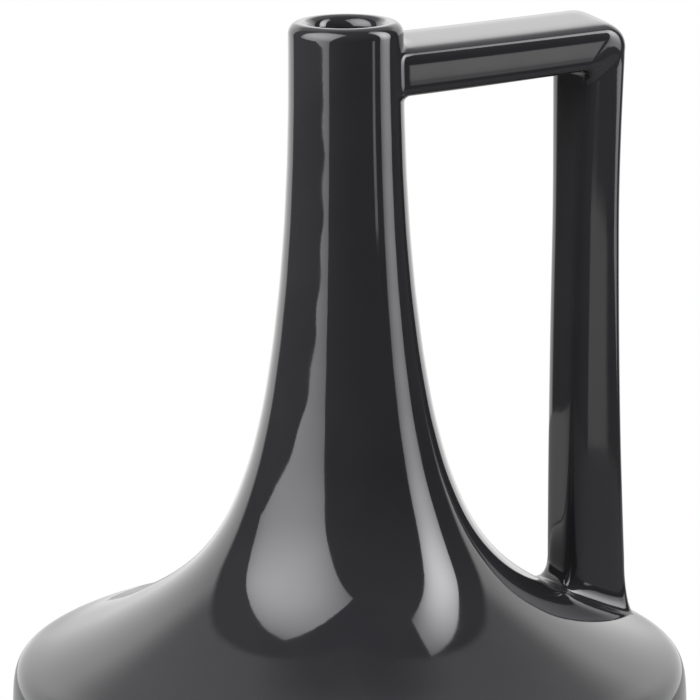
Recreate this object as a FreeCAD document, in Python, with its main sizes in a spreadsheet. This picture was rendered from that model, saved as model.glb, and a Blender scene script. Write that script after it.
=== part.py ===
import FreeCAD, Part
import math
import os
import Sketcher
from FreeCAD import Vector

# A jug with a squat drum body, a long flaring neck and a squared handle.
# The frame: Z up from the table, X towards the handle, origin on the axis of turning.
# The jug is fired as one ceramic. Its nodes are the sections that a potter throws or
# pulls, and then lutes together while the clay is leather hard.

# Driving sizes in millimetres
SIZES = [
    ("total_height", 300.0, "rim above the table"),
    ("body_radius", 110.0, "outside of the drum wall"),
    ("shoulder_height", 88.8, "where the shoulder's slope would meet the drum wall"),
    ("wall_top", 62.0, "upper end of the upright drum wall"),
    ("neck_radius", 18.3, "outside of the neck under the rim"),
    ("bore_radius", 10.6, "inside of the neck"),
    ("throat_length", 44.0, "straight bore below the rim"),
    ("wall", 7.5, "thickness of the thrown wall"),
    ("base_turn", 30.0, "radius from the drum wall to the underside"),
    ("floor_thickness", 9.0, "floor of the drum"),
    ("foot_radius", 76.0, "outside of the foot ring"),
    ("foot_width", 9.0, "width of the foot ring"),
    ("foot_height", 6.0, "height of the foot ring"),
    ("foot_round", 1.6, "rounded edges of the foot ring"),
    ("bowl_rise", 10.0, "joint of bowl and shoulder above the upright wall"),
    ("sweep_rise", 69.2, "joint of shoulder and neck above the shoulder's height"),
    ("collar_height", 38.0, "joint of neck and mouth collar below the rim"),
    ("seam_bevel", 2.5, "fall of each joint from inside to outside"),
    ("handle_inset", 13.0, "outer face of the post inside the drum wall"),
    ("handle_width", 25.0, "width of arm and post"),
    ("handle_edge", 4.2, "rounding along the handle's long edges"),
    ("corner_extra", 4.0, "outer corner's radius beyond the edge rounding"),
    ("elbow_round", 2.6, "radius of the handle's inner corner"),
    ("arm_depth", 18.4, "height of the arm's section"),
    ("arm_drop", 3.6, "top of the corner below the rim"),
    ("arm_fall", 2.6, "fall of the arm from corner to neck"),
    ("arm_sag", 0.8, "hollow of the arm's long lines"),
    ("post_depth", 16.0, "thickness of the post at its top"),
    ("post_flare", 2.4, "how far the post's foot spreads outwards"),
    ("post_waist", 2.2, "hollow of the post's outer line"),
    ("post_lute", 5.0, "radius of the wiped joint between post and shoulder"),
    ("lute_lip", 0.45, "how deep a wiped joint's curve starts under the skin that it joins"),
    ("overrun", 30.0, "how far a cutting shape runs past what it cuts"),
]

# Poles of the neck's flare, from the drum wall up to the mouth: shares of the way out
# from the neck to the drum, and of the way up from the shoulder to the rim
FLARE_SHARES = [
    ("slope", 0.79, 0.044),
    ("hip", 0.36, 0.123),
    ("waist", 0.16, 0.277),
    ("stem", 0.051, 0.496),
]
# Shares of the wall's thickness that stand across and up at each of those poles
WALL_SHARES = {
    "slope": (0.40, 0.92),
    "hip": (0.72, 0.70),
    "waist": (0.93, 0.37),
    "stem": (1.0, 0.1),
}

# How far up from the shoulder to the rim the neck runs straight
STEM_TOP_SHARE = 0.768

# Share of the wall's thickness that stands under the shoulder's corner
INNER_SHOULDER_SHARE = 0.80

# Where an edge is tried to see whether it lies on a skin
EDGE_SHARES = (0.25, 0.5, 0.75)

# Where the handle's hollow lines are deepest, along the arm and up the post
ARM_MIDDLE_SHARE = 0.5
POST_WAIST_SHARE = 0.45

# How far the mitre's cutting plane runs past the handle's two corners, in arm or post depths
MITRE_REACH_SHARE = 0.6

# The degree of the smooth outlines, and how close two places count as one
SMOOTH_DEGREE = 3
TOUCH = 1e-4

doc = FreeCAD.newDocument("oinochoe_jug")
sheet = doc.addObject("Spreadsheet::Sheet", "sizes")
for row, (alias, value, meaning) in enumerate(SIZES, start=1):
    sheet.set("A%d" % row, meaning)
    sheet.set("B%d" % row, str(value))
    sheet.setAlias("B%d" % row, alias)
doc.recompute()


def cell(alias):
    """The expression that reads one size from the sheet."""
    return "sizes." + alias


def size(alias):
    """The present value of one size."""
    return float(sheet.get(alias))


def mix(low, high, share):
    """The expression for a place a share of the way from low to high."""
    return "(%s) + ((%s) - (%s)) * %s" % (low, high, low, share)


class Outline:
    """A closed sketch on one of a body's planes, with each corner pinned to expressions."""

    def __init__(self, body, name, role="XZ_Plane"):
        self.sketch = body.newObject("Sketcher::SketchObject", name)
        plane = [f for f in body.Origin.OriginFeatures if f.Role == role][0]
        self.sketch.AttachmentSupport = [(plane, "")]
        self.sketch.MapMode = "FlatFace"
        self.points = {}
        self.ends = []

    def point(self, name, across, up):
        self.points[name] = (str(across), str(up))

    def place(self, name):
        across, up = [float(self.sketch.evalExpression(text)) for text in self.points[name]]
        return Vector(across, up, 0)

    def pin(self, geometry, corner, name):
        across, up = self.points[name]
        at = self.place(name)
        if across == "0":
            self.sketch.addConstraint(Sketcher.Constraint("PointOnObject", geometry, corner, -2))
        else:
            self.bind("DistanceX", geometry, corner, at.x, across)
        if up == "0":
            self.sketch.addConstraint(Sketcher.Constraint("PointOnObject", geometry, corner, -1))
        else:
            self.bind("DistanceY", geometry, corner, at.y, up)

    def bind(self, kind, geometry, corner, value, expression):
        index = self.sketch.addConstraint(Sketcher.Constraint(kind, -1, 1, geometry, corner, value))
        self.sketch.setExpression("Constraints[%d]" % index, expression)

    def line(self, start, finish):
        index = self.sketch.addGeometry(Part.LineSegment(self.place(start), self.place(finish)), False)
        self.ends.append((index, 1, 2, start, finish))

    def spline(self, *names):
        poles = [self.place(name) for name in names]
        degree = min(SMOOTH_DEGREE, len(poles) - 1)
        curve = Part.BSplineCurve(poles, None, None, False, degree, None, False)
        index = self.sketch.addGeometry(curve, False)
        first_circle = self.sketch.GeometryCount
        self.sketch.exposeInternalGeometry(index)
        for step, name in enumerate(names[1:-1], start=1):
            self.pin(first_circle + step, 3, name)
        self.ends.append((index, 1, 2, names[0], names[-1]))

    def arc(self, start, finish, radius, left=True):
        """An arc of under half a turn; left says that its centre lies left of the way."""
        one, two = self.place(start), self.place(finish)
        length = float(self.sketch.evalExpression(radius))
        chord = two - one
        across = Vector(-chord.y, chord.x, 0).normalize()
        height = math.sqrt(max(length**2 - chord.Length**2 / 4, 0))
        centre = (one + two) * 0.5 + across * (height if left else -height)
        ring = Part.Circle(centre, Vector(0, 0, 1), length)
        turns = [math.atan2(p.y - centre.y, p.x - centre.x) for p in (one, two)]
        first, last = turns if left else turns[::-1]
        index = self.sketch.addGeometry(Part.ArcOfCircle(ring, first, last), False)
        bound = self.sketch.addConstraint(Sketcher.Constraint("Radius", index, length))
        self.sketch.setExpression("Constraints[%d]" % bound, radius)
        self.ends.append((index, 1 if left else 2, 2 if left else 1, start, finish))

    def close(self):
        """Joins each run to the next and pins the corner between them."""
        for run, after in zip(self.ends, self.ends[1:] + self.ends[:1]):
            joint = Sketcher.Constraint("Coincident", run[0], run[2], after[0], after[1])
            self.sketch.addConstraint(joint)
            self.pin(after[0], after[1], after[3])
        return self.sketch


def new_body(name):
    return doc.addObject("PartDesign::Body", name)


def turned(body, sketch):
    """Turns a sketch about the body's upright axis."""
    turn = body.newObject("PartDesign::Revolution", body.Name + "_turn")
    turn.Profile = sketch
    turn.ReferenceAxis = (sketch, ["V_Axis"])
    turn.Angle = 360
    sketch.Visibility = False
    doc.recompute()
    return turn


def padded(body, sketch, width, both_sides=True):
    """Pads a sketch to both sides of its plane, or to one."""
    pad = body.newObject("PartDesign::Pad", body.Name + "_pad")
    pad.Profile = sketch
    pad.SideType = "Symmetric" if both_sides else "One side"
    pad.setExpression("Length", width)
    sketch.Visibility = False
    doc.recompute()
    return pad


def boolean(kind, label, base, tool):
    node = doc.addObject("Part::" + kind, label)
    node.Label = label
    node.Base = base
    node.Tool = tool
    return node


# Half of the neck's wall, so that the two arcs of the rim meet at its top
RIM_ROUND = "((sizes.neck_radius - sizes.bore_radius) / 2)"

# The post's outer face, which keeps its distance from the drum wall
REACH = "(sizes.body_radius - sizes.handle_inset)"

# The outside of the vessel, from the underside up to the rim


def flare_point(outline, name, out_share, up_share, inset_shares=(0, 0), drop="0"):
    """One pole of the flare, moved in by shares of the wall and lowered by a drop."""
    across = mix(cell("neck_radius"), cell("body_radius"), out_share)
    up = mix(cell("shoulder_height"), cell("total_height"), up_share)
    across_share, down_share = inset_shares
    outline.point(name, "%s - sizes.wall * %s" % (across, across_share),
                  "%s - sizes.wall * %s - %s" % (up, down_share, drop))


def flare_points(outline, drop="0"):
    """The poles from the drum wall up to the rim, moved in and down by a drop."""
    outline.point("wall_high", "sizes.body_radius - " + drop, "sizes.wall_top - " + drop)
    flare_point(outline, "shoulder", 1, 0, drop=drop)
    for name, out_share, up_share in FLARE_SHARES:
        flare_point(outline, name, out_share, up_share, drop=drop)
    flare_point(outline, "stem_top", 0, STEM_TOP_SHARE, drop=drop)
    rim = "sizes.total_height - %s - %s" % (RIM_ROUND, drop)
    outline.point("rim_out", cell("neck_radius"), rim)
    outline.point("axis_high", 0, rim)


def flare_run(outline):
    outline.spline("wall_high", "shoulder", "slope", "hip", "waist", "stem", "stem_top", "rim_out")


def outer_points(outline):
    outline.point("axis_low", 0, cell("foot_height"))
    outline.point("base", "sizes.body_radius - sizes.base_turn", cell("foot_height"))
    outline.point("wall_low", cell("body_radius"), "sizes.foot_height + sizes.base_turn")
    flare_points(outline)


def outer_runs(outline):
    outline.line("axis_low", "base")
    outline.arc("base", "wall_low", cell("base_turn"))
    outline.line("wall_low", "wall_high")
    flare_run(outline)


def make_solid_form():
    """The vessel's outside as a filled form, which the handle is cut to fit."""
    body = new_body("outer_form")
    outline = Outline(body, "outer_outline")
    outer_points(outline)
    outer_runs(outline)
    outline.line("rim_out", "axis_high")
    outline.line("axis_high", "axis_low")
    turned(body, outline.close())
    return body


def make_vessel():
    """The whole turned wall: drum, shoulder, neck and rim, with its hollow."""
    body = new_body("turned_vessel")
    outline = Outline(body, "vessel_outline")
    outer_points(outline)
    outline.point("rim_top", "(sizes.neck_radius + sizes.bore_radius) / 2", cell("total_height"))
    outline.point("rim_in", cell("bore_radius"), "sizes.total_height - " + RIM_ROUND)
    outline.point("throat", cell("bore_radius"), "sizes.total_height - sizes.throat_length")
    outline.point("in_stem_top", cell("bore_radius"),
                  mix(cell("shoulder_height"), cell("total_height"), STEM_TOP_SHARE))
    for name, out_share, up_share in FLARE_SHARES:
        flare_point(outline, "in_" + name, out_share, up_share, WALL_SHARES[name])
    inside = "sizes.body_radius - sizes.wall"
    outline.point("in_shoulder", inside,
                  "sizes.shoulder_height - sizes.wall * %s" % INNER_SHOULDER_SHARE)
    outline.point("in_wall_high", inside, cell("wall_top"))
    floor_top = "sizes.foot_height + sizes.floor_thickness"
    inner_turn = "(sizes.base_turn - sizes.wall)"
    outline.point("in_wall_low", inside, "%s + %s" % (floor_top, inner_turn))
    outline.point("in_base", "%s - %s" % (inside, inner_turn), floor_top)
    outline.point("floor", 0, floor_top)
    outer_runs(outline)
    outline.arc("rim_out", "rim_top", RIM_ROUND)
    outline.arc("rim_top", "rim_in", RIM_ROUND)
    outline.line("rim_in", "throat")
    outline.spline("throat", "in_stem_top", "in_stem", "in_waist", "in_hip", "in_slope",
                   "in_shoulder", "in_wall_high")
    outline.line("in_wall_high", "in_wall_low")
    outline.arc("in_wall_low", "in_base", inner_turn, left=False)
    outline.line("in_base", "floor")
    outline.line("floor", "axis_low")
    turned(body, outline.close())
    return body


# Joints of the thrown sections: each is a cone that falls from inside to outside


def make_below(name, height):
    """All space under one joint, as a turned block with a coned top."""
    body = new_body("below_" + name)
    outline = Outline(body, name + "_outline")
    reach = "sizes.body_radius + sizes.overrun"
    outline.point("low_axis", 0, "0 - sizes.overrun")
    outline.point("low_rim", reach, "0 - sizes.overrun")
    outline.point("high_rim", reach, "%s - sizes.seam_bevel" % height)
    outline.point("high_axis", 0, "%s + sizes.seam_bevel" % height)
    outline.line("low_axis", "low_rim")
    outline.line("low_rim", "high_rim")
    outline.line("high_rim", "high_axis")
    outline.line("high_axis", "low_axis")
    turned(body, outline.close())
    return body


def make_foot_ring():
    body = new_body("foot_ring_body")
    outline = Outline(body, "foot_outline")
    inner = "sizes.foot_radius - sizes.foot_width"
    outline.point("top_in", inner, cell("foot_height"))
    outline.point("low_in", inner, cell("foot_round"))
    outline.point("face_in", inner + " + sizes.foot_round", 0)
    outline.point("face_out", "sizes.foot_radius - sizes.foot_round", 0)
    outline.point("low_out", cell("foot_radius"), cell("foot_round"))
    outline.point("top_out", cell("foot_radius"), cell("foot_height"))
    outline.line("top_in", "low_in")
    outline.arc("low_in", "face_in", cell("foot_round"))
    outline.line("face_in", "face_out")
    outline.arc("face_out", "low_out", cell("foot_round"))
    outline.line("low_out", "top_out")
    outline.line("top_out", "top_in")
    turned(body, outline.close())
    return body


# The handle: one pulled strap with an elbow


def handle_points(outline):
    top = "(sizes.total_height - sizes.arm_drop)"
    inner = "(%s - sizes.post_depth)" % REACH
    outline.point("root_high", cell("bore_radius"), top + " - sizes.arm_fall")
    outline.point("arm_high", mix(cell("bore_radius"), REACH, ARM_MIDDLE_SHARE),
                  top + " - sizes.arm_fall / 2 - sizes.arm_sag")
    outline.point("corner", REACH, top)
    outline.point("post_out", REACH + " - sizes.post_waist",
                  mix(cell("wall_top"), top, POST_WAIST_SHARE))
    outline.point("foot_out", REACH + " + sizes.post_flare", cell("wall_top"))
    outline.point("foot_in", inner + " - sizes.post_flare / 2", cell("wall_top"))
    outline.point("elbow", inner, top + " - sizes.arm_depth")
    outline.point("arm_low", mix(cell("bore_radius"), inner, ARM_MIDDLE_SHARE),
                  top + " - sizes.arm_fall / 2 - sizes.arm_sag - sizes.arm_depth")
    outline.point("root_low", cell("bore_radius"), top + " - sizes.arm_fall - sizes.arm_depth")


def is_across(edge, at):
    """Whether an edge runs across the strap and passes a place on its outline."""
    ends = [v.Point for v in edge.Vertexes]
    along_y = abs(ends[0].x - ends[1].x) + abs(ends[0].z - ends[1].z) < TOUCH
    return along_y and abs(ends[0].x - at.x) + abs(ends[0].z - at.y) < TOUCH


def make_handle():
    body = new_body("handle_strap")
    outline = Outline(body, "handle_outline")
    handle_points(outline)
    outline.spline("root_high", "arm_high", "corner")
    outline.spline("corner", "post_out", "foot_out")
    outline.line("foot_out", "foot_in")
    outline.line("foot_in", "elbow")
    outline.spline("elbow", "arm_low", "root_low")
    outline.line("root_low", "root_high")
    pad = padded(body, outline.close(), cell("handle_width"))
    bends = [("corner", "sizes.handle_edge + sizes.corner_extra"), ("elbow", cell("elbow_round"))]
    base = pad
    for name, radius in bends:
        names = ["Edge%d" % n for n, edge in enumerate(base.Shape.Edges, start=1)
                 if len(edge.Vertexes) == 2 and is_across(edge, outline.place(name))]
        base = rounded(body, base, names, radius)
    sides = []
    half = size("handle_width") / 2
    for n, edge in enumerate(base.Shape.Edges, start=1):
        box = edge.BoundBox
        in_side = box.YLength < TOUCH and abs(abs(box.YMin) - half) < TOUCH
        at_end = box.ZLength < TOUCH and abs(box.ZMin - size("wall_top")) < TOUCH
        at_root = box.XLength < TOUCH and abs(box.XMin - size("bore_radius")) < TOUCH
        if in_side and not at_end and not at_root:
            sides.append("Edge%d" % n)
    rounded(body, base, sides, cell("handle_edge"))
    return body


def rounded(body, base, names, radius):
    """Rounds some edges of the last feature in a body."""
    fillet = body.newObject("PartDesign::Fillet", body.Name + "_round")
    fillet.Base = (base, names)
    fillet.setExpression("Radius", radius)
    doc.recompute()
    return fillet


def make_mitre():
    """The space of the post, bounded above by the mitre through both corners."""
    body = new_body("post_side")
    outline = Outline(body, "mitre_outline")
    handle_points(outline)
    rise = "sizes.arm_depth * %s" % MITRE_REACH_SHARE
    run = "sizes.post_depth * %s" % MITRE_REACH_SHARE
    elbow, corner = outline.points["elbow"], outline.points["corner"]
    outline.point("mitre_in", "%s - %s" % (elbow[0], run), "%s - %s" % (elbow[1], rise))
    outline.point("mitre_out", "%s + %s" % (corner[0], run), "%s + %s" % (corner[1], rise))
    outline.point("low_out", "%s + %s" % (corner[0], run), 0)
    outline.point("low_in", "%s - %s" % (elbow[0], run), 0)
    outline.line("mitre_in", "mitre_out")
    outline.line("mitre_out", "low_out")
    outline.line("low_out", "low_in")
    outline.line("low_in", "mitre_in")
    padded(body, outline.close(), "sizes.handle_width + sizes.overrun")
    return body


# The wiped joint round the post's foot is the filleted meeting of two cores, which lie a
# little inside the shoulder and the post. Less the vessel and the strap, it is a thin collar


def rounded_stub(body, left, right, low, high, start, length):
    """Pads a rounded rectangle upwards, from a height and by a length."""
    outline = Outline(body, body.Name + "_section", "XY_Plane")
    edge = cell("handle_edge")
    outline.point("a", "%s + %s" % (left, edge), low)
    outline.point("b", "%s - %s" % (right, edge), low)
    outline.point("c", right, "%s + %s" % (low, edge))
    outline.point("d", right, "%s - %s" % (high, edge))
    outline.point("e", "%s - %s" % (right, edge), high)
    outline.point("f", "%s + %s" % (left, edge), high)
    outline.point("g", left, "%s - %s" % (high, edge))
    outline.point("h", left, "%s + %s" % (low, edge))
    for first, corner, last in ("abc", "cde", "efg", "gha"):
        outline.line(first, corner)
        outline.arc(corner, last, edge)
    sketch = outline.close()
    sketch.setExpression(".AttachmentOffset.Base.z", start)
    return outline, padded(body, sketch, length, both_sides=False)


def meeting_edges(shape, skin, outline):
    """The edges of a shape that lie on a core's skin and within a stub's section."""
    names = []
    left, right = outline.place("g").x, outline.place("c").x
    low, high = outline.place("a").y, outline.place("e").y
    for n, edge in enumerate(shape.Edges, start=1):
        first, last = edge.ParameterRange
        tried = [edge.valueAt(first + (last - first) * share) for share in EDGE_SHARES]
        inside = all(left - TOUCH < place.x < right + TOUCH and low - TOUCH < place.y < high + TOUCH
                     for place in tried)
        if inside and all(skin.distToShape(Part.Vertex(place))[0] < TOUCH for place in tried):
            names.append("Edge%d" % n)
    return names


def make_post_core():
    body = new_body("post_core")
    outline = Outline(body, "shoulder_core_outline")
    flare_points(outline, drop=cell("lute_lip"))
    outline.point("axis_low", 0, "sizes.wall_top - sizes.lute_lip")
    outline.line("axis_low", "wall_high")
    flare_run(outline)
    outline.line("rim_out", "axis_high")
    outline.line("axis_high", "axis_low")
    skin = turned(body, outline.close()).Shape.copy()
    half = "(sizes.handle_width / 2 - sizes.lute_lip)"
    inner = "(%s - sizes.post_depth)" % REACH
    rise = "sizes.shoulder_height - sizes.wall_top + sizes.overrun"
    section, stub = rounded_stub(body, inner, REACH, "0 - " + half, half, cell("wall_top"), rise)
    names = meeting_edges(stub.Shape, skin, section)
    rounded(body, stub, names, cell("post_lute"))
    return body


def check_document():
    for thing in doc.Objects:
        if "Invalid" in thing.State or "Error" in thing.State:
            raise RuntimeError("%s did not compute: %s" % (thing.Label, thing.State))


form = make_solid_form()
vessel = make_vessel()
below_bowl = make_below("bowl_seam", "(sizes.wall_top + sizes.bowl_rise)")
below_neck = make_below("neck_seam", "(sizes.shoulder_height + sizes.sweep_rise)")
below_mouth = make_below("mouth_seam", "(sizes.total_height - sizes.collar_height)")
foot = make_foot_ring()
strap = make_handle()
mitre = make_mitre()
post_core = make_post_core()
doc.recompute()

bowl = boolean("Common", "bowl", vessel, below_bowl)
above_bowl = boolean("Cut", "above_bowl", vessel, below_bowl)
shoulder = boolean("Common", "shoulder", above_bowl, below_neck)
above_shoulder = boolean("Cut", "above_shoulder", above_bowl, below_neck)
neck = boolean("Common", "neck", above_shoulder, below_mouth)
mouth = boolean("Cut", "mouth_collar", above_shoulder, below_mouth)
free_strap = boolean("Cut", "free_strap", strap, form)
post = boolean("Common", "handle_post", free_strap, mitre)
arm = boolean("Cut", "handle_arm", free_strap, mitre)
post_ring = boolean("Cut", "post_ring", post_core, form)
post_lute = boolean("Cut", "post_lute", post_ring, strap)
foot.Label = "foot_ring"
doc.recompute()
check_document()

os.makedirs("parts", exist_ok=True)
for node in (foot, bowl, shoulder, neck, mouth, arm, post, post_lute):
    shape = node.Shape
    if shape.isNull() or not shape.isValid():
        raise RuntimeError(node.Label + " has no valid shape")
    shape.exportStep("parts/%s.step" % node.Label)
    box = shape.BoundBox
    print("%-14s %d solid, volume %.0f mm3, x %.1f to %.1f, y %.1f to %.1f, z %.1f to %.1f" % (
        node.Label, len(shape.Solids), shape.Volume,
        box.XMin, box.XMax, box.YMin, box.YMax, box.ZMin, box.ZMax))
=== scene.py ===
# %% [markdown]
# # A black-glazed jug, piece by piece
#
# The object is one fired pot: a squat drum that closes in over a shoulder, a long neck, a thick
# rounded rim and a squared strap handle. The CAD frame gives its sizes and its parts. Here each
# part is made again with the smooth skin that a mirror-bright glaze needs, because a glossy
# black surface shows nothing but its reflections, and those show every facet. The shapes are
# worked out in millimetres and become Blender's metres when a mesh is made.

import bpy
import numpy as np
from mathutils import Matrix, Vector


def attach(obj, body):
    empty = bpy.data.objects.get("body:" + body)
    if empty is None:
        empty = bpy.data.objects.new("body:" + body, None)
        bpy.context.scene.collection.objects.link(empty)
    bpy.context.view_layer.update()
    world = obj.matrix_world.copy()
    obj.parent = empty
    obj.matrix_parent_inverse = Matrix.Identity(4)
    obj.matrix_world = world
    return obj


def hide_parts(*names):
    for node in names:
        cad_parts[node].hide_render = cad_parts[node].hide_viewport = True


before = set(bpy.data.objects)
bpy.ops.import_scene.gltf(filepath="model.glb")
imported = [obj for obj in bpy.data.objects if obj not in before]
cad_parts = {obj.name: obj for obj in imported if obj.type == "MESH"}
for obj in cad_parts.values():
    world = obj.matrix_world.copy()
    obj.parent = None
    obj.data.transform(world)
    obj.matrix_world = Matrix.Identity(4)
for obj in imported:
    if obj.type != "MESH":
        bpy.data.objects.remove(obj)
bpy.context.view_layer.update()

MM = 0.001

# %% [markdown]
# ## The outline
#
# A thrown vessel is one outline turned about its axis. The outline is a closed walk: out under
# the floor, up the wall and the neck, over the rim and back down the inside. A Blender curve
# with a Screw modifier could turn it, but then the normals are guessed from the facets. Here
# the walk is sampled densely, so that its exact direction is known at every point.
#
# The long sweep is a smooth curve that is pulled by poles. Each pole is given as two shares:
# how far it lies out from the neck to the drum, and how far up from the shoulder to the rim.
# Three poles in millimetres make the outer corner of the drum a little fuller than in the CAD.

# %% Sizes of the thrown wall, in millimetres
HEIGHT, DRUM_RADIUS, NECK_RADIUS, BORE_RADIUS = 300.0, 110.0, 18.3, 10.6
WALL, FLOOR_THICKNESS, BASE_TURN, FOOT_HEIGHT = 7.5, 9.0, 30.0, 6.0
WALL_TOP, SHOULDER, THROAT = 62.0, 88.8, 44.0
STEM_TOP_SHARE = 0.768

# Millimetres in from the drum's wall, and up from the shoulder's height
CORNER_POLES = [(0.0, 3.8), (0.1, -1.4), (58.4, 25.96)]
OUTSIDE_SHARES = [(0.16, 0.277), (0.051, 0.496)]

# Inside, each pole stands back from the flare by shares of the wall, inwards and downwards
INSIDE_SHARES = [(0.79, 0.044), (0.36, 0.123), (0.16, 0.277), (0.051, 0.496)]
WALL_SHARES = [(0.40, 0.92), (0.72, 0.70), (0.93, 0.37), (1.0, 0.10)]
CORNER_WALL_SHARE = 0.8


def flare(out_share, up_share):
    """A place between neck and drum, and between shoulder and rim."""
    return (NECK_RADIUS + (DRUM_RADIUS - NECK_RADIUS) * out_share,
            SHOULDER + (HEIGHT - SHOULDER) * up_share)


rim_radius = (NECK_RADIUS - BORE_RADIUS) / 2
rim_centre = (BORE_RADIUS + rim_radius, HEIGHT - rim_radius)
stem_top = flare(0, STEM_TOP_SHARE)[1]
inner_radius = DRUM_RADIUS - WALL

outer_poles = [(DRUM_RADIUS, WALL_TOP)]
outer_poles += [(DRUM_RADIUS - inward, SHOULDER + upward) for inward, upward in CORNER_POLES]
outer_poles += [flare(*shares) for shares in OUTSIDE_SHARES]
outer_poles += [(NECK_RADIUS, stem_top), (NECK_RADIUS, rim_centre[1])]

inner_poles = [(inner_radius, WALL_TOP), (inner_radius, SHOULDER - WALL * CORNER_WALL_SHARE)]
for shares, back in zip(INSIDE_SHARES, WALL_SHARES):
    radius, height = flare(*shares)
    inner_poles.append((radius - WALL * back[0], height - WALL * back[1]))
inner_poles += [(BORE_RADIUS, stem_top), (BORE_RADIUS, HEIGHT - THROAT)]
print(len(outer_poles), "poles outside and", len(inner_poles), "inside")

# %% [markdown]
# The walk is made of straight legs, arcs and two such sweeps, one outside and one inside. The
# legs meet end to end, so each leg gives up its last point to the next one.

# %% The walk around the wall
SPLINE_DEGREE = 3


def spline(poles, count=1200):
    """Points of a smooth curve with even spans, each by repeated mixing of four poles."""
    poles = np.array(poles, float)
    spans = len(poles) - SPLINE_DEGREE
    ends = [0] * SPLINE_DEGREE, [spans] * SPLINE_DEGREE
    knots = np.concatenate([ends[0], np.arange(spans + 1), ends[1]])
    points = []
    for place in np.linspace(0, spans, count):
        first = min(int(place), spans - 1)
        near = list(poles[first:first + SPLINE_DEGREE + 1])
        for level in range(1, SPLINE_DEGREE + 1):
            for pole in range(SPLINE_DEGREE, level - 1, -1):
                low = knots[first + pole]
                high = knots[first + pole + 1 + SPLINE_DEGREE - level]
                share = (place - low) / (high - low)
                near[pole] = (1 - share) * near[pole - 1] + share * near[pole]
        points.append(near[-1])
    return np.array(points)


def arc(centre, radius, start, end, count=120):
    """Points of an arc between two angles in degrees."""
    turn = np.radians(np.linspace(start, end, count))
    return np.array(centre) + radius * np.column_stack([np.cos(turn), np.sin(turn)])


def straight(start, end, count=80):
    """Points of a straight line."""
    return np.linspace(start, end, count)


turn_start = DRUM_RADIUS - BASE_TURN
inner_turn = BASE_TURN - WALL
inner_floor = FOOT_HEIGHT + FLOOR_THICKNESS
outside = [
    straight((0, FOOT_HEIGHT), (turn_start, FOOT_HEIGHT)),
    arc((turn_start, FOOT_HEIGHT + BASE_TURN), BASE_TURN, -90, 0),
    straight((DRUM_RADIUS, FOOT_HEIGHT + BASE_TURN), (DRUM_RADIUS, WALL_TOP)),
    spline(outer_poles),
    arc(rim_centre, rim_radius, 0, 90),
]
inside = [
    arc(rim_centre, rim_radius, 90, 180),
    straight((BORE_RADIUS, rim_centre[1]), (BORE_RADIUS, HEIGHT - THROAT)),
    spline(inner_poles[::-1]),
    straight((inner_radius, WALL_TOP), (inner_radius, inner_floor + inner_turn)),
    arc((turn_start, inner_floor + inner_turn), inner_turn, 0, -90),
    straight((turn_start, inner_floor), (0, inner_floor)),
]
walk = np.vstack([leg[:-1] for leg in outside + inside] + [inside[-1][-1:]])
rim_top = sum(len(leg) - 1 for leg in outside)
print("the walk has", len(walk), "points, the rim's top is number", rim_top)

# %% [markdown]
# ## Rows where they are needed
#
# A mesh of even rows would waste most of them on straight walls and still show facets at the
# rim. So the rows are spaced by effort: a count that rises with each few millimetres walked
# and with each few degrees turned. Even steps of effort are short steps where the wall bends.


# %% Lengths, directions and rows
def smooth(share):
    """A soft rise from 0 to 1."""
    share = np.clip(share, 0, 1)
    return share ** 2 * (3 - 2 * share)


def unit(vectors):
    """Vectors along the last axis, made one long."""
    return vectors / np.linalg.norm(vectors, axis=-1, keepdims=True)


def lengths_of(points):
    """Distance walked at each point."""
    steps = np.linalg.norm(np.diff(points, axis=0), axis=1)
    return np.concatenate([[0], np.cumsum(steps)])


def effort_of(points, longest, sharpest):
    """A count that rises by one for each `longest` walked or `sharpest` degrees turned."""
    along = lengths_of(points)
    toward = np.gradient(points, along, axis=0)
    turned = np.unwrap(np.arctan2(toward[:, 1], toward[:, 0]))
    steps = np.diff(along) / longest + np.abs(np.degrees(np.diff(turned))) / sharpest
    return np.concatenate([[0], np.cumsum(steps)])


def picked(points, measure, places):
    """Points of a line where a measure that rises along it has the values in `places`."""
    return np.column_stack([np.interp(places, measure, column) for column in points.T])


walked = lengths_of(walk)
heading = unit(np.gradient(walk, walked, axis=0))
effort = effort_of(walk, longest=3.2, sharpest=5)
wall_start = walked[sum(len(leg) - 1 for leg in outside[:2])]
rim_start = walked[rim_top] - rim_radius * np.pi / 2


def rows_between(start, end):
    """Places for rows of vertices, closer together where the outline bends."""
    first, last = np.interp([start, end], walked, effort)
    count = int(np.ceil(last - first)) + 1
    places = np.interp(np.linspace(first, last, count), effort, walked)
    places[0], places[-1] = start, end
    return places


print("the wall runs from", round(wall_start, 1), "to", round(rim_start, 1), "mm along the walk")

# %% [markdown]
# ## Turning the parts
#
# A potter's wall is never a perfect surface of revolution: it keeps faint rings from the
# fingers and a slight lobed waver. Both are below a tenth of a millimetre, but in a mirror they
# make a straight edge tremble. They are added along the normal, with the normal tilted by their
# exact slope, and then each vertex is given that normal by hand.

# %% The thrown wall's skin
TURN_STEPS = 240
RING_HEIGHT, RING_LENGTH, RING_SWAY, RING_TURN = 0.018, 3.1, 0.7, 1.1
# Lobes to a turn, their height, the length on which they climb by one radian, and their start
LOBES = [(3, 0.06, 44, 0), (5, 0.02, -27, 2)]
FADE_IN, FADE_OUT, RIM_MARGIN = 40, 30, 4
NUDGE, LEAST_RADIUS = 0.01, 5
turns = np.linspace(0, 2 * np.pi, TURN_STEPS, endpoint=False)


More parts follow.
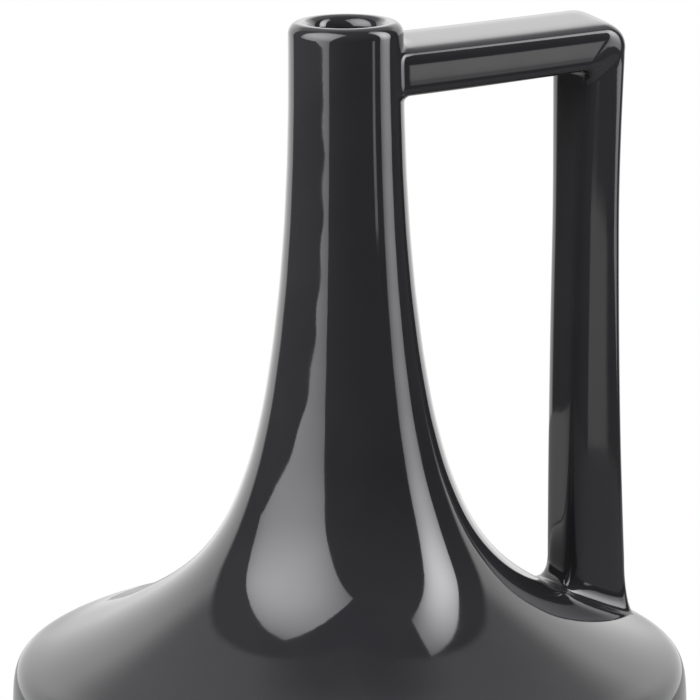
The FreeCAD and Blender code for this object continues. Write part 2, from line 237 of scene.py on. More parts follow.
def waver(along, turn):
    """How far the thrown wall stands off its outline, in millimetres."""
    height = RING_HEIGHT * np.sin(along / RING_LENGTH + RING_SWAY * np.sin(turn + RING_TURN))
    for count, lobe, climb, start in LOBES:
        height = height + lobe * np.sin(count * turn + along / climb + start)
    fade_in = smooth((along - wall_start + FADE_IN / 2) / FADE_IN)
    return height * fade_in * smooth((rim_start - RIM_MARGIN - along) / FADE_OUT)


def skin(places):
    """Points and normals of the turned rows at `places`, one row after another."""
    along, turn = np.meshgrid(places, turns, indexing="ij")
    radius, height = picked(walk, walked, places).T[:, :, None]
    out_part, up_part = unit(picked(heading, walked, places)).T[:, :, None]
    slope = (waver(along + NUDGE, turn) - waver(along - NUDGE, turn)) / (2 * NUDGE)
    twist = (waver(along, turn + NUDGE) - waver(along, turn - NUDGE)) / (2 * NUDGE)
    twist = twist / np.maximum(radius, LEAST_RADIUS)
    offset = waver(along, turn)
    reach = radius + up_part * offset
    points = np.stack([reach * np.cos(turn), reach * np.sin(turn), height - out_part * offset],
                      axis=-1)
    facing = up_part - out_part * slope
    normals = np.stack([
        facing * np.cos(turn) + twist * np.sin(turn),
        facing * np.sin(turn) - twist * np.cos(turn),
        -out_part - up_part * slope,
    ], axis=-1)
    return points, unit(normals)


mid_wall = skin([wall_start + FADE_IN])[0]
print("a turned row has", mid_wall.shape[1], "points, radius",
      np.linalg.norm(mid_wall[0, :, :2], axis=1).mean().round(2), "mm")

# %% [markdown] A mesh needs its faces as well as its points. The points lie in rows, so the
# faces are quads between neighbouring rows, and a fan of triangles closes an end.


# %% Faces and pieces
def grid_faces(rows, columns, ring):
    """Quads of a grid that is closed around its columns, and around its rows for a ring."""
    faces = []
    for row in range(rows if ring else rows - 1):
        below, above = row * columns, (row + 1) % rows * columns
        for column in range(columns):
            following = (column + 1) % columns
            faces.append((below + column, below + following, above + following, above + column))
    return faces


def end_fans(rows, columns, first_tip, last_tip):
    """Triangles from a tip to the first row and from another to the last row."""
    last = (rows - 1) * columns
    faces = []
    for column in range(columns):
        following = (column + 1) % columns
        faces.append((first_tip, following, column))
        faces.append((last_tip, last + column, last + following))
    return faces


pieces = {}


def add_piece(name, node, points, normals, faces):
    """A smooth closed mesh with its own normals, in the place of one CAD node."""
    mesh = bpy.data.meshes.new(name)
    mesh.from_pydata((points * MM).tolist(), [], faces)
    mesh.polygons.foreach_set("use_smooth", [True] * len(mesh.polygons))
    mesh.update()
    mesh.normals_split_custom_set_from_vertices(normals.tolist())
    piece = bpy.data.objects.new(name, mesh)
    bpy.context.collection.objects.link(piece)
    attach(piece, "root")
    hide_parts(node)
    pieces[name] = piece
    low, high = points.min(axis=0), points.max(axis=0)
    print(name, len(faces), "faces, from", low.round(1), "to", high.round(1), "mm")


print("two turned rows are joined by", len(grid_faces(2, TURN_STEPS, ring=False)), "quads")

# %% [markdown]
# ## Shoulder, neck and mouth
#
# The tall wall is thrown in sections that are luted together on slightly coned joints. One long
# mesh could show them all, but each section is a part of its own. So each is a closed ring of
# rows: up its outside, across the joint, down its inside and across the lower joint. Neighbours
# share their seam rows, and the glaze runs over the seams without a break.

# %% The thrown sections above the bowl
BOWL_SEAM, SWEEP_SEAM, COLLAR_SEAM = WALL_TOP + 10, SHOULDER + 69.2, HEIGHT - 38
SEAM_FALL, SEAM_REACH = 2.5, 140


def seam_places(height):
    """Where the slightly coned seam at `height` crosses the outside and the inside."""
    seam = height + SEAM_FALL - 2 * SEAM_FALL * walk[:, 0] / SEAM_REACH
    above = walk[:, 1] - seam
    out = np.interp(0, above[:rim_top], walked[:rim_top])
    back = np.interp(0, above[rim_top:][::-1], walked[rim_top:][::-1])
    return out, back


def thrown_section(name, node, spans):
    """A part of the wall between seams: its outside, then its inside, closed into a ring."""
    points, normals = skin(np.concatenate([rows_between(*span) for span in spans]))
    faces = grid_faces(len(points), TURN_STEPS, ring=True)
    add_piece(name, node, points.reshape(-1, 3), normals.reshape(-1, 3), faces)


bowl_out, bowl_in = seam_places(BOWL_SEAM)
sweep_out, sweep_in = seam_places(SWEEP_SEAM)
collar_out, collar_in = seam_places(COLLAR_SEAM)
thrown_section("thrown_shoulder", "shoulder", [(bowl_out, sweep_out), (sweep_in, bowl_in)])
thrown_section("thrown_neck", "neck", [(sweep_out, collar_out), (collar_in, sweep_in)])
thrown_section("thrown_mouth", "mouth_collar", [(collar_out, collar_in)])

# %% [markdown]
# ## The bowl
#
# The bowl is floor, base turn and upright wall in one. It is turned like the sections above,
# but its rows stop just short of the axis, where a ring of quads would shrink to slivers, and
# a fan of triangles closes the floor above and below.

# %% The thrown bowl
NEAR_AXIS = 4


def thrown_bowl():
    """The lowest part of the wall, closed at the axis by a fan on each side of the floor."""
    places = np.concatenate([rows_between(NEAR_AXIS, bowl_out),
                             rows_between(bowl_in, walked[-1] - NEAR_AXIS)])
    points, normals = skin(places)
    rows = len(points)
    points = np.vstack([points.reshape(-1, 3), [[0, 0, FOOT_HEIGHT], [0, 0, inner_floor]]])
    normals = np.vstack([normals.reshape(-1, 3), [[0, 0, -1], [0, 0, 1]]])
    faces = grid_faces(rows, TURN_STEPS, ring=False)
    faces += end_fans(rows, TURN_STEPS, len(points) - 2, len(points) - 1)
    add_piece("thrown_bowl", "bowl", points, normals, faces)


thrown_bowl()

# %% [markdown]
# ## The foot ring
#
# The foot is a low ring, trimmed with a tool when the clay is leather hard and left bare so
# that it doesn't stick to the kiln shelf. A torus would be too round for it. It is a bar of
# clay with rounded edges turned about the axis, with a trimmer's slight unevenness around it.

# %% The trimmed foot
FOOT_RADIUS, FOOT_WIDTH = 76, 9
GROUND_ROUND, UPPER_ROUND, ROUND_ROWS = 1.6, 0.4, 7
# Waves around the ring, their share of its radius, and their start
TRIMMING = [(7, 0.0006, 0), (16, 0.0004, 1)]


def around_axis(radius, height):
    """A row of places at one radius and height, all around the axis."""
    return np.column_stack([radius * np.cos(turns), radius * np.sin(turns),
                            np.full(TURN_STEPS, height)])


def trimmed_foot():
    """A bar with four rounded edges, turned into a ring."""
    inner = FOOT_RADIUS - FOOT_WIDTH
    upper = FOOT_HEIGHT - UPPER_ROUND
    edges = [
        (FOOT_RADIUS - GROUND_ROUND, GROUND_ROUND, GROUND_ROUND, -90),
        (FOOT_RADIUS - UPPER_ROUND, upper, UPPER_ROUND, 0),
        (inner + UPPER_ROUND, upper, UPPER_ROUND, 90),
        (inner + GROUND_ROUND, GROUND_ROUND, GROUND_ROUND, 180),
    ]
    uneven = 1 + sum(share * np.sin(count * turns + start) for count, share, start in TRIMMING)
    points, normals = [], []
    for centre, level, size, start in edges:
        for out, up in arc((0, 0), 1, start, start + 90, ROUND_ROWS):
            points.append(around_axis((centre + size * out) * uneven, level + size * up))
            normals.append(around_axis(out, up))
    faces = grid_faces(len(points), TURN_STEPS, ring=True)
    add_piece("trimmed_foot", "foot_ring",
              np.vstack(points), np.vstack(normals), faces)


trimmed_foot()

# %% [markdown]
# ## The strap handle
#
# The handle is a pulled strap of clay: a level arm from the neck, a mitred corner and a long
# post that spreads a little where it stands on the shoulder. A bevelled curve would round the
# corner like a bent pipe. Here the strap is a bundle of lines instead. Each line runs at one
# level of the strap's depth, so all of them turn on the mitre, tightly on the inside and more
# softly on the outside. The section is a rectangle with soft edges, and its lines crowd there.

# %% The section of the strap
HALF_DEPTH, HALF_WIDTH = 8.6, 14.0
SQUARENESS = 5.5
STRAP_LINES = 96
SECTION_SAMPLES = 4001


def strap_section():
    """Level from 0 to 1, sideways place in mm, and the outward direction of each line."""
    turn = np.linspace(0, 2 * np.pi, SECTION_SAMPLES)
    around = np.column_stack([np.cos(turn), np.sin(turn)])
    halves = np.array([HALF_DEPTH, HALF_WIDTH])
    powers = np.sum(np.abs(around / halves) ** SQUARENESS, axis=1)
    loop = powers[:, None] ** (-1 / SQUARENESS) * around
    count = effort_of(loop, longest=1.6, sharpest=6)
    loop = picked(loop, count, np.linspace(0, count[-1], STRAP_LINES, endpoint=False))
    out = np.sign(loop) * np.abs(loop / halves) ** (SQUARENESS - 1) / halves
    return 0.5 + loop[:, 0] / (2 * HALF_DEPTH), loop[:, 1], unit(out)


levels, sides, outward = strap_section()
print(len(levels), "lines, level from", levels.min().round(2), "to", levels.max().round(2))

# %% [markdown]
# The strap's four long edges sag and lean a little, as pulled clay does, so each is a curve
# with three poles: place out from the axis, and height. The arm's top face leans towards its
# near side, and the post is narrower than the arm.

# %% The lines of the strap
CORNER_OUT, CORNER_IN = (97.4, 295.6), (81.2, 278.2)
ARM_HIGH = [(BORE_RADIUS, 293.6), (54.0, 294.3), CORNER_OUT]
ARM_LOW = [(BORE_RADIUS, 275.7), (46.0, 276.5), CORNER_IN]
POST_OUT = [CORNER_OUT, (95.6, 167.5), (103.6, WALL_TOP)]
POST_IN = [CORNER_IN, (77.6, 170.0), (78.6, WALL_TOP)]
CORNER_TIGHT, CORNER_SOFT = 2.0, 8.5
TOP_LEAN, TOP_DROP = 0.095, 1.2
POST_BREADTH_SHARE = 0.68
TAPER_END_SHARE, LEAN_END_SHARE = 0.35, 0.5
ARM_ROWS, CORNER_ROWS, POST_ROWS, JOINT_ROWS = 24, 13, 52, 9
EDGE_SAMPLES = 500

rows = np.arange(ARM_ROWS + CORNER_ROWS + POST_ROWS)
taper = smooth((rows - ARM_ROWS) / (CORNER_ROWS + POST_ROWS * TAPER_END_SHARE))
breadths = 1 + (POST_BREADTH_SHARE - 1) * taper
leans = 1 - smooth((rows - ARM_ROWS - CORNER_ROWS) / (POST_ROWS * LEAN_END_SHARE))


def bend(poles, share):
    """Points of a curve from its first pole to its last, pulled towards the middle one."""
    start, middle, end = (np.array(pole, float) for pole in poles)
    share = share[:, None]
    return start * (1 - share) ** 2 + 2 * middle * share * (1 - share) + end * share ** 2


def between_lines(low, high, level):
    """A line of the strap between two of its edges."""
    share = np.linspace(0, 1, EDGE_SAMPLES)
    return (1 - level) * bend(low, share) + level * bend(high, share)


def corner_points(before, corner, after):
    """A round turn from one point to another around a corner, without its two ends."""
    share = np.linspace(0, 1, CORNER_ROWS + 2)[1:-1, None]
    weights = (1 - share) ** 2, np.sqrt(2) * share * (1 - share), share ** 2
    turn = weights[0] * before + weights[1] * corner + weights[2] * after
    return turn / sum(weights)


print("the arm is", 2 * HALF_WIDTH, "mm wide and the post",
      round(2 * HALF_WIDTH * POST_BREADTH_SHARE, 1))

# %% [markdown]
# At both ends a line swings out into the wiped clay of the joint, which follows the round wall
# that it lands on, and it ends just under that wall's skin. On the shoulder the wiped collar
# reaches further up the post's outer face than its inner one, since the shoulder falls away
# under the outer face.

# %% The two wiped joints
ROOT_ROUND, ROOT_UNDER, ROOT_OVER, ROOT_PAST, ROOT_SUNK = 2.0, 0.4, -0.6, 0.4, 1.2
FOOT_SPREAD, SPREAD_UNDER, SPREAD_OVER = 3.2, 2.4, 0.6
FOOT_RISE, RISE_UNDER, RISE_OVER = 6.5, 3.0, 13.5
FOOT_PAST, FOOT_SUNK, FOOT_TRIES = 0.6, 1.6, 4
outer_wall = walk[:rim_top][walk[:rim_top, 1] >= WALL_TOP]


def neck_face(height, side):
    """How far the neck's surface stands out from the axis at a height, at one side."""
    radius = np.interp(height, outer_wall[:, 1], outer_wall[:, 0])
    return np.sqrt(np.maximum(radius ** 2 - side ** 2, 1))


def shoulder_height(place, side):
    """The height of the shoulder's surface above a point of the plan."""
    return np.interp(np.hypot(place, side), outer_wall[::-1, 0], outer_wall[::-1, 1])


def wiped_curve(spread, rise, past, sunk):
    """How far a joint's curve spreads and how high it stands, from the strap to the wall."""
    swing = np.radians(np.linspace(0, 90, JOINT_ROWS))
    return (np.append(spread * (1 - np.cos(swing)), spread + past),
            np.append(rise * (1 - np.sin(swing)), -sunk))


def arm_root(arm, side, out, joint):
    """Where an arm's line leaves its joint with the neck, and the line's points in the joint."""
    start = neck_face(arm[0, 1], side) + joint
    height = np.interp(start, arm[:, 0], arm[:, 1])
    spread, rise = wiped_curve(joint, joint, ROOT_PAST, ROOT_SUNK)
    across, up = side + spread * out[1], height + spread * out[0]
    return start, np.column_stack([neck_face(up, across) + rise, across, up])[::-1]


def post_foot(post, side, out, spread, rise):
    """Where a post's line enters its joint with the shoulder, and its points in the joint."""
    foot = post[-1, 0]
    for attempt in range(FOOT_TRIES):
        stand = shoulder_height(foot, side) + rise
        foot = np.interp(stand, post[::-1, 1], post[::-1, 0])
    end = np.interp(stand, post[::-1, 1], lengths_of(post)[::-1])
    spreads, rises = wiped_curve(spread, rise, FOOT_PAST, FOOT_SUNK)
    place, across = foot + spreads[1:] * out[0], side + spreads[1:] * out[1]
    height = shoulder_height(place, across) + rises[1:]
    return end, np.column_stack([place, across, height])


print("the shoulder under the post is",
      round(float(shoulder_height(CORNER_IN[0], 0)), 1), "mm high")

# %% [markdown]
# A line of the strap is then put together: joint, arm, corner, post, joint. Every line has the
# same number of rows, so the bundle is a grid, and a row across it is a section of the strap.


# %% The grid of the strap
def strap_line(level, side, out):
    """One line of the strap, from inside the neck's wall to inside the shoulder's."""
    arm, post = between_lines(ARM_LOW, ARM_HIGH, level), between_lines(POST_IN, POST_OUT, level)
    along, down = lengths_of(arm), lengths_of(post)
    under, over = max(0, -out[0]) ** 2, max(0, out[0]) ** 2
    lean = level * (TOP_LEAN * side - TOP_DROP)

    joint = ROOT_ROUND + ROOT_UNDER * under + ROOT_OVER * over
    start, root = arm_root(arm, side, out, joint)
    root[:, 2] += lean

    soft = CORNER_TIGHT + (CORNER_SOFT - CORNER_TIGHT) * level
    first = np.interp(start, arm[:, 0], along)
    level_run = picked(arm, along, np.linspace(first, along[-1] - soft, ARM_ROWS + 1)[1:])
    leave = picked(post, down, [soft])[0]
    corner = corner_points(level_run[-1], arm[-1], leave)

    spread = FOOT_SPREAD + SPREAD_UNDER * under + SPREAD_OVER * over
    rise = FOOT_RISE + RISE_UNDER * under + RISE_OVER * over
    end, landing = post_foot(post, side * POST_BREADTH_SHARE, out, spread, rise)
    drop = picked(post, down, np.linspace(soft, end, POST_ROWS))

    middle = np.vstack([level_run, corner, drop])
    middle = np.column_stack([middle[:, 0], side * breadths, middle[:, 1] + lean * leans])
    return np.vstack([root, middle, landing])


strap = np.stack([strap_line(*line) for line in zip(levels, sides, outward)], axis=1)
mitre_row = JOINT_ROWS + 1 + ARM_ROWS + CORNER_ROWS // 2
lute_row = len(strap) - JOINT_ROWS - 1
print("strap grid", strap.shape, "mitre at", strap[mitre_row].mean(axis=0).round(1), "mm")

# %% [markdown]
# The normals come from the whole grid, before it is cut into parts: the slope along a line
# crossed with the slope across it. So the shine runs on over the mitre and over the wiped clay.
# The cut rows are shared, and each part is closed by a fan from the middle of its end rows.

# %% Arm, post and wiped lute
ARM_ROOT_TIP, POST_FOOT_TIP = (14.5, 0, 286), (90, 0, 91)


def slopes(points, closed):
    """Change of place along each line of a grid's first axis, for uneven steps."""
    around = np.concatenate([points[-2:], points, points[:2]]) if closed else points
    result = np.empty_like(around)
    for line in range(points.shape[1]):
        result[:, line] = np.gradient(around[:, line], lengths_of(around[:, line]), axis=0)
    return result[2:-2] if closed else result


crosswise = slopes(strap.transpose(1, 0, 2), closed=True).transpose(1, 0, 2)
strap_normals = unit(np.cross(crosswise, slopes(strap, closed=False)))
middle_row = JOINT_ROWS + ARM_ROWS // 2
if np.sum(strap_normals[middle_row, :, 2] * outward[:, 0]) < 0:
    strap_normals = -strap_normals


def strap_part(name, node, rows, first_tip, last_tip):
    """A length of the strap, closed at both ends."""
    grid = strap[rows]
    centres = grid.mean(axis=1)
    away = unit(np.array([centres[0] - centres[1], centres[-1] - centres[-2]]))
    points = np.vstack([grid.reshape(-1, 3), [first_tip, last_tip]])
    normals = np.vstack([strap_normals[rows].reshape(-1, 3), away])
    faces = grid_faces(len(grid), STRAP_LINES, ring=False)
    faces += end_fans(len(grid), STRAP_LINES, len(points) - 2, len(points) - 1)
    corners = [(face[0], second, third) for face in faces
               for second, third in zip(face[1:], face[2:])]
    first, second, third = points[np.array(corners)].transpose(1, 0, 2)
    if np.sum(first * np.cross(second, third)) < 0:
        faces = [face[::-1] for face in faces]
    add_piece(name, node, points, normals, faces)


mitre_tip, lute_tip = strap[mitre_row].mean(axis=0), strap[lute_row].mean(axis=0)
strap_part("pulled_arm", "handle_arm", slice(0, mitre_row + 1), ARM_ROOT_TIP, mitre_tip)
strap_part("pulled_post", "handle_post", slice(mitre_row, lute_row + 1), mitre_tip, lute_tip)
strap_part("wiped_lute", "post_lute", slice(lute_row, None), lute_tip, POST_FOOT_TIP)

# %% [markdown]
# ## The shader sums
#
# Blender's materials are node trees. Written as code they soon turn into pages of links, so a
# small class wraps a node's output and gives it plus, minus, times and the rest. Each sign then
# adds one Math node, and a formula can be read as a formula.


# %% A socket that does sums
class Sock:
    """A node's output in one tree, with operators that add Math nodes."""

    def __init__(self, tree, output=None):
        self.tree = tree
        self.output = output

    def make(self, kind, settings, sockets, result=0):
        """Add a node of any kind and give back one of its outputs."""
        node = self.tree.nodes.new(kind)
        for name, value in settings.items():
            setattr(node, name, value)
        for name, value in sockets.items():
            if isinstance(value, Sock):
                self.tree.links.new(value.output, node.inputs[name])
            else:
                node.inputs[name].default_value = value
        return Sock(self.tree, node.outputs[result])

    def maths(self, operation, first, second):
        """One Math node."""
        return self.make("ShaderNodeMath", {"operation": operation}, {0: first, 1: second})

    def __add__(self, other):
        return self.maths("ADD", self, other)

    __radd__ = __add__

    def __mul__(self, other):
        return self.maths("MULTIPLY", self, other)

    __rmul__ = __mul__

    def __sub__(self, other):
        return self.maths("SUBTRACT", self, other)

    def __rsub__(self, other):
        return self.maths("SUBTRACT", other, self)

    def __truediv__(self, other):
        return self.maths("DIVIDE", self, other)

    def __rtruediv__(self, other):
        return self.maths("DIVIDE", other, self)

    def __pow__(self, other):
        return self.maths("POWER", self, other)

    def __rpow__(self, other):
        return self.maths("POWER", other, self)

    def step(self, low, high):
        """A smooth rise from 0 to 1 between two values."""
        sockets = {"Value": self, "From Min": low, "From Max": high}
        return self.make("ShaderNodeMapRange", {"interpolation_type": "SMOOTHSTEP"}, sockets)

    def dot(self, direction):
        """The dot product of this vector with a direction."""
        sockets = {0: self, 1: tuple(direction)}
        return self.make("ShaderNodeVectorMath", {"operation": "DOT_PRODUCT"}, sockets, "Value")

    def between(self, low, high):
        """A colour between two, by this factor."""
        return self.make("ShaderNodeMix", {"data_type": "RGBA"}, {0: self, 6: low, 7: high}, 2)

    def grey(self, blue=1.0):
        """A colour of this brightness, with a little more or less blue."""
        sockets = {0: self, 1: self, 2: self * blue if blue != 1 else self}
        return self.make("ShaderNodeCombineColor", {}, sockets)

    def feed(self, node, name):
        """Link this output to a node's input."""
        self.tree.links.new(self.output, node.inputs[name])


def new_material(name):
    """An empty material, its Principled node and a first socket for sums."""
    material = bpy.data.materials.new(name)
    material.use_nodes = True
    tree = material.node_tree
    return material, tree.nodes["Principled BSDF"], Sock(tree)


def speckle(start, place, scale, detail=2.0):
    """Noise between 0 and 1 at so many grains to the metre."""
    sockets = {"Vector": place, "Scale": scale, "Detail": detail}
    return start.make("ShaderNodeTexNoise", {}, sockets, "Fac")


def bumped(start, height, strength, distance):
    """Normals tilted by a height that varies over the surface, in metres."""
    sockets = {"Strength": strength, "Distance": distance, "Height": height}
    return start.make("ShaderNodeBump", {}, sockets, "Normal")


print("the socket class has", len([name for name in vars(Sock) if callable(vars(Sock)[name])]),
      "methods")

# %% [markdown]
# ## The glaze
#
# The glaze is an iron-black glass over dark clay. Almost all that is seen of it is a reflection
# of about four per cent, as from a window pane, so the Principled shader needs a nearly black
# base, an index of refraction of 1.5 and a low roughness. A coat over a dull base would do it
# too, with one layer more than the look needs. Where the glaze pooled it is a shade deeper,
# here and there it is slightly less sharp, and its skin has the finest orange peel.

# %% Black glaze
GLAZE_DEEP, GLAZE_THIN = (0.0175, 0.0175, 0.0193, 1), (0.021, 0.0206, 0.0219, 1)
GLAZE_ROUGHNESS, CLOUDING, GLASS_INDEX = 0.045, 0.03, 1.5
POOLS, CLOUDS, PEEL = 26.0, 60.0, 240.0
POOL_EDGE, CLOUD_EDGE = (0.3, 0.7), (0.35, 0.75)


def black_glaze():
    """Black glass with faint pools, clouds and orange peel."""
    material, shader, start = new_material("black_glaze")
    place = start.make("ShaderNodeTexCoord", {}, {}, "Object")
    thinned = speckle(start, place, POOLS).step(*POOL_EDGE)
    thinned.between(GLAZE_DEEP, GLAZE_THIN).feed(shader, "Base Color")
    clouded = speckle(start, place, CLOUDS).step(*CLOUD_EDGE)
    (GLAZE_ROUGHNESS + CLOUDING * clouded).feed(shader, "Roughness")
    shader.inputs["IOR"].default_value = GLASS_INDEX
    peel = speckle(start, place, PEEL, detail=1.0)
    bumped(start, peel, strength=0.2, distance=0.00003).feed(shader, "Normal")
    return material


glaze = black_glaze()
print(glaze.name, "has", len(glaze.node_tree.nodes), "nodes")

# %% [markdown]
# ## Bare clay
#
# The foot is left without glaze. Fired stoneware is matt and gritty, so its colour, its
# roughness and its bumps all come from one fine grain: where a grit stands up it is paler.

# %% Bare clay
CLAY_DARK, CLAY_PALE = (0.20, 0.165, 0.14, 1), (0.29, 0.245, 0.21, 1)
CLAY_ROUGHNESS, GRIT_ROUGHNESS, GRIT = 0.72, 0.2, 900.0


def bare_clay():
    """Matt fired clay with a fine grit."""
    material, shader, start = new_material("bare_clay")
    place = start.make("ShaderNodeTexCoord", {}, {}, "Object")
    grain = speckle(start, place, GRIT, detail=4.0)
    grain.between(CLAY_DARK, CLAY_PALE).feed(shader, "Base Color")
    (CLAY_ROUGHNESS + GRIT_ROUGHNESS * grain).feed(shader, "Roughness")
    bumped(start, grain, strength=0.5, distance=0.0003).feed(shader, "Normal")
    return material


clay = bare_clay()
for name, piece in pieces.items():
    piece.data.materials.append(clay if name == "trimmed_foot" else glaze)
print("finishes:", glaze.name, "and", clay.name)

# %% [markdown]
# ## Camera
#
# The view is a long lens from a little above, a metre and a half away, with the handle to the
# right and turned slightly away. The body is cut by the lower edge of the picture. The camera
# could be aimed with a Track To constraint, but its small yaw and roll matter here, so its
# three axes are worked out and written into its matrix.

# %% The camera
PIXELS, FOCAL_PIXELS, SENSOR = 700, 4362, 36
STANDPOINT = (-0.628, -1.206, 0.526)
HEADING, PITCH, YAW, ROLL = (0.4617, 0.887, 0), 13.748, 0.0414, -0.336
UP = Vector((0, 0, 1))
toward = Vector(HEADING).normalized()
rightward = Vector((toward.y, -toward.x, 0))


def place_camera():
    """The camera at its standpoint, turned by heading, pitch, yaw and roll."""
    pitch, yaw, roll = np.radians([PITCH, YAW, ROLL])
    forward = toward * np.cos(pitch) - UP * np.sin(pitch) + rightward * np.tan(yaw)
    forward.normalize()
    level_right = forward.cross(UP).normalized()
    level_up = level_right.cross(forward)
    right = level_right * np.cos(roll) + level_up * np.sin(roll)
    up = level_up * np.cos(roll) - level_right * np.sin(roll)
    lens = bpy.data.cameras.new("view")
    lens.sensor_width = SENSOR
    lens.lens = SENSOR * FOCAL_PIXELS / PIXELS
    camera = bpy.data.objects.new("view", lens)
    bpy.context.collection.objects.link(camera)
    turning = Matrix((right, up, -forward)).transposed().to_4x4()
    camera.matrix_world = Matrix.Translation(STANDPOINT) @ turning
    return camera


bpy.context.scene.camera = place_camera()
bpy.context.scene.view_settings.view_transform = "Standard"
print("lens", round(bpy.context.scene.camera.data.lens, 1), "mm")

# %% [markdown]
# ## Softboxes
#
# A black mirror is lit by what it reflects, so the lamps are large: a wide softbox to the left
# that leans over the pot, and a narrow strip to the right. An evenly bright lamp would give flat
# white bars. Cloth in front of a bulb is brightest in its middle, so each lamp has a gradient
# over its face. With four watts to the square metre, the lamp's face is as bright as the
# gradient says, in the same units as a colour.

# %% Lamps
FACE_EDGE, FACE_SWELL, DAYLIGHT = 0.55, 1.8, 1.03
FACE_WATTS = 4


def from_view(depth, across, height):
    """A point given by its distance toward the camera, to the right and up, in metres."""
    return rightward * across - toward * depth + UP * height


def shine(lamp, dim, bright, peak, end):
    """Dim at the foot of the lamp, bright at a share of its height, dim again at another."""
    lamp.use_nodes = True
    start = Sock(lamp.node_tree)
    spot = start.make("ShaderNodeNewGeometry", {}, {}, "Parametric")
    sides, heights = spot.dot((1, 0, 0)), spot.dot((0, 1, 0))
    tall = heights.step(0, peak) * (1 - heights.step(peak, end))
    wide = FACE_EDGE + FACE_SWELL * sides * (1 - sides)
    level = wide * (dim + (bright - dim) * tall)
    level.grey(blue=DAYLIGHT).feed(lamp.node_tree.nodes["Emission"], "Color")


def softbox(name, low, high, edge, width):
    """A rectangular lamp between two centres, with its width along `edge`."""
    low, high = from_view(*low), from_view(*high)
    lamp = bpy.data.lights.new(name, "AREA")
    lamp.shape = "RECTANGLE"
    lamp.size, lamp.size_y = width, (high - low).length
    lamp.energy = FACE_WATTS * lamp.size * lamp.size_y
    y_axis = (high - low).normalized()
    z_axis = from_view(*edge).cross(y_axis).normalized()
    x_axis = y_axis.cross(z_axis)
    stand = bpy.data.objects.new(name, lamp)
    bpy.context.collection.objects.link(stand)
    turning = Matrix((x_axis, y_axis, z_axis)).transposed().to_4x4()
    stand.matrix_world = Matrix.Translation((low + high) / 2) @ turning
    stand.visible_camera = False
    print(name, "is", round(lamp.size, 2), "by", round(lamp.size_y, 2), "m")
    return lamp


left = softbox("left_softbox", low=(0.231, -0.746, 0.2575), high=(0.299, -0.276, 1.667),
               edge=(0.8, 0.665, -0.165), width=1.06)
shine(left, dim=3.2, bright=5.8, peak=0.36, end=1.033)
right = softbox("right_strip", low=(0.099, 0.657, 0.07), high=(-0.050, 0.416, 1.134),
                edge=(-0.93, -0.366, 0.05), width=0.31)
shine(right, dim=2.1, bright=8.6, peak=0.465, end=1.047)

# %% [markdown]
# ## The room
#
# The rest of the room is dark but for a pale backdrop behind the pot, which gives the thin
# bright lines along the edges, and a small card low on the right, which the arm's upright face
# shows. The camera sees plain white wherever it looks past the pot. Glossy and transmission
# rays see the backdrop only behind the pot, where it glows and fades upwards. Diffuse rays
# don't meet it, so it doesn't lighten the floor. A white room all round would turn the black
# glaze grey.

# %% The world
BACKDROP, POOL_DIM, POOL_BRIGHT = 1.5, 0.4, 1.05
DARK_ABOVE, DARK_BELOW, CARD, CARD_LOW_SHARE = 0.035, 0.10, 1.95, 0.45
HIGH_FALL, TOP_FALL, NEVER_ZERO = 0.62, 0.34, 0.0001
# Start and end of each soft step, in parts of a direction of length 1: ahead, beside or up
BEHIND, STRAIGHT_BEHIND, POOL_RISE = (0.57, 0.64), (0.972, 0.992), (0.02, 0.27)
HIGH, TOP, GROUND = (0.42, 0.62), (0.88, 0.98), (-0.3, 0.0)
CARD_LEFT, CARD_RIGHT, CARD_BACK = (0.808, 0.824), (0.855, 0.872), (-0.1, 0.1)
CARD_BOTTOM, CARD_MIDDLE, CARD_TOP = (-0.30, -0.25), (-0.21, -0.17), (-0.12, -0.07)


def ray_kinds(start):
    """Three masks: is it a ray of the camera, a glossy one, or one through glass."""
    names = "Is Camera Ray", "Is Glossy Ray", "Is Transmission Ray"
    return [start.make("ShaderNodeLightPath", {}, {}, name) for name in names]


def card_mask(ahead, beside, height):
    """A low card on the right, on the camera's side of the pot, dimmer in its lower half."""
    wide = beside.step(*CARD_LEFT) * (1 - beside.step(*CARD_RIGHT))
    in_front = 1 - ahead.step(*CARD_BACK)
    tall = height.step(*CARD_BOTTOM) * (1 - height.step(*CARD_TOP))
    lit = CARD_LOW_SHARE + (1 - CARD_LOW_SHARE) * height.step(*CARD_MIDDLE)
    return wide * in_front * tall * lit


def furnish_room():
    """The world: dark, with a card, and a backdrop for camera, glossy and glass rays."""
    world = bpy.data.worlds.new("room")
    bpy.context.scene.world = world
    world.use_nodes = True
    start = Sock(world.node_tree)
    ray = start.make("ShaderNodeTexCoord", {}, {}, "Generated")
    forth, across, height = ray.dot(toward), ray.dot(rightward), ray.dot(UP)
    flat = (forth * forth + across * across + NEVER_ZERO) ** 0.5
    ahead, beside = forth / flat, across / flat
    fall = 1 - HIGH_FALL * height.step(*HIGH) - TOP_FALL * height.step(*TOP)
    pool = ahead.step(*STRAIGHT_BEHIND)
    glow = BACKDROP + pool * (POOL_BRIGHT * height.step(*POOL_RISE) - POOL_DIM)
    dark = DARK_ABOVE + DARK_BELOW * (1 - height.step(*GROUND))
    camera_ray, glossy_ray, through_ray = ray_kinds(start)
    backdrop = camera_ray + (glossy_ray + through_ray) * ahead.step(*BEHIND) * fall
    room = (dark + CARD * card_mask(ahead, beside, height)) * (1 - backdrop)
    room = room + (glow + (1 - glow) * camera_ray) * backdrop
    room.grey().feed(world.node_tree.nodes["Background"], "Color")
    print("the room has", len(world.node_tree.nodes), "nodes")


furnish_room()

# %% [markdown]
# ## The floor
#
# The pot stands on pale paper that runs out into white. To the camera the paper is nearly white
# and keeps the pot's shadow around the foot, and further out it fades into the backdrop. In
# the glaze the near paper shows much darker, and the paper behind the pot as an even light
# grey. The floor is a disc rather than a plane without end: past its edge the glaze shows the
# dark of the room.

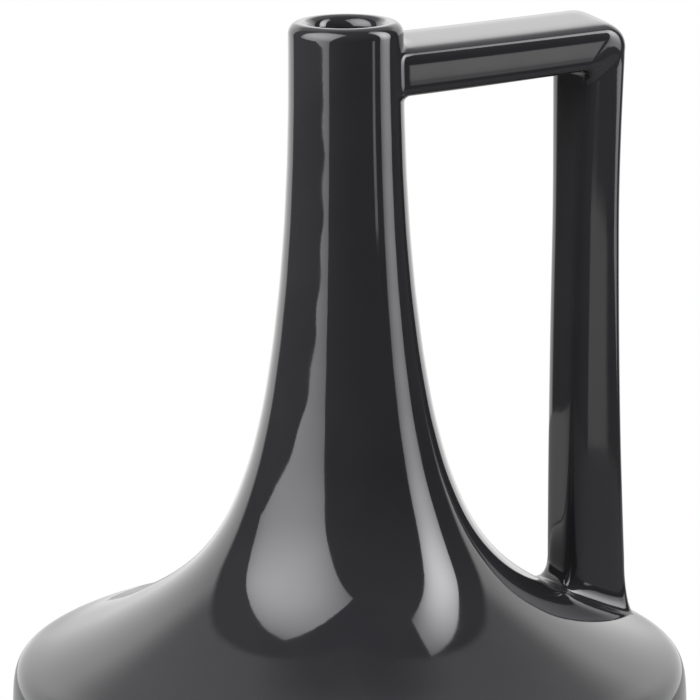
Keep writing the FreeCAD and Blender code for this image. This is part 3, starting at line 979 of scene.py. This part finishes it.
# %% The pale floor
FLOOR_RADIUS, FLOOR_EDGES = 0.62, 180
# Metres from the pot's axis, outwards and straight behind it, where the paper turns pale
SHADOW_EDGE, PALE_BEHIND = (0.13, 0.27), (0.05, 0.2)
SEEN_PAPER, SEEN_GRAIN = (0.80, 0.80, 0.80, 1), (0.84, 0.84, 0.84, 1)
MIRRORED_PAPER, MIRRORED_GRAIN = (0.21, 0.21, 0.21, 1), (0.24, 0.24, 0.24, 1)
MIRRORED_GLOW, PAPER_GRAIN, PAPER_ROUGHNESS = 0.62, 120.0, 0.9


def floor_disc():
    """A flat disc on the ground."""
    mesh = bpy.data.meshes.new("floor")
    edge = np.linspace(0, 2 * np.pi, FLOOR_EDGES, endpoint=False)
    disc = FLOOR_RADIUS * np.column_stack([np.cos(edge), np.sin(edge), np.zeros_like(edge)])
    mesh.from_pydata(disc.tolist(), [], [tuple(range(FLOOR_EDGES))])
    floor = bpy.data.objects.new("floor", mesh)
    bpy.context.collection.objects.link(floor)
    return floor


def pale_paper():
    """Matt paper that turns to plain white away from the pot."""
    paper, shader, start = new_material("pale_floor")
    place = start.make("ShaderNodeTexCoord", {}, {}, "Object")
    away = start.make("ShaderNodeVectorMath", {"operation": "LENGTH"}, {0: place}, "Value")
    camera_ray, glossy_ray, through_ray = ray_kinds(start)
    grain = speckle(start, place, PAPER_GRAIN)
    mirrored = grain.between(MIRRORED_PAPER, MIRRORED_GRAIN)
    camera_ray.between(mirrored, grain.between(SEEN_PAPER, SEEN_GRAIN)).feed(shader, "Base Color")
    shader.inputs["Roughness"].default_value = PAPER_ROUGHNESS
    paleness = (MIRRORED_GLOW + (1 - MIRRORED_GLOW) * camera_ray).grey()
    white = start.make("ShaderNodeEmission", {}, {"Color": paleness})
    behind = (glossy_ray + through_ray) * place.dot(toward).step(*PALE_BEHIND)
    share = camera_ray * away.step(*SHADOW_EDGE) + behind
    paper_shader = Sock(start.tree, shader.outputs["BSDF"])
    mixed = start.make("ShaderNodeMixShader", {}, {0: share, 1: paper_shader, 2: white})
    mixed.feed(start.tree.nodes["Material Output"], "Surface")
    return paper


floor = floor_disc()
floor.data.materials.append(pale_paper())
print("the floor is", 2 * FLOOR_RADIUS, "m across")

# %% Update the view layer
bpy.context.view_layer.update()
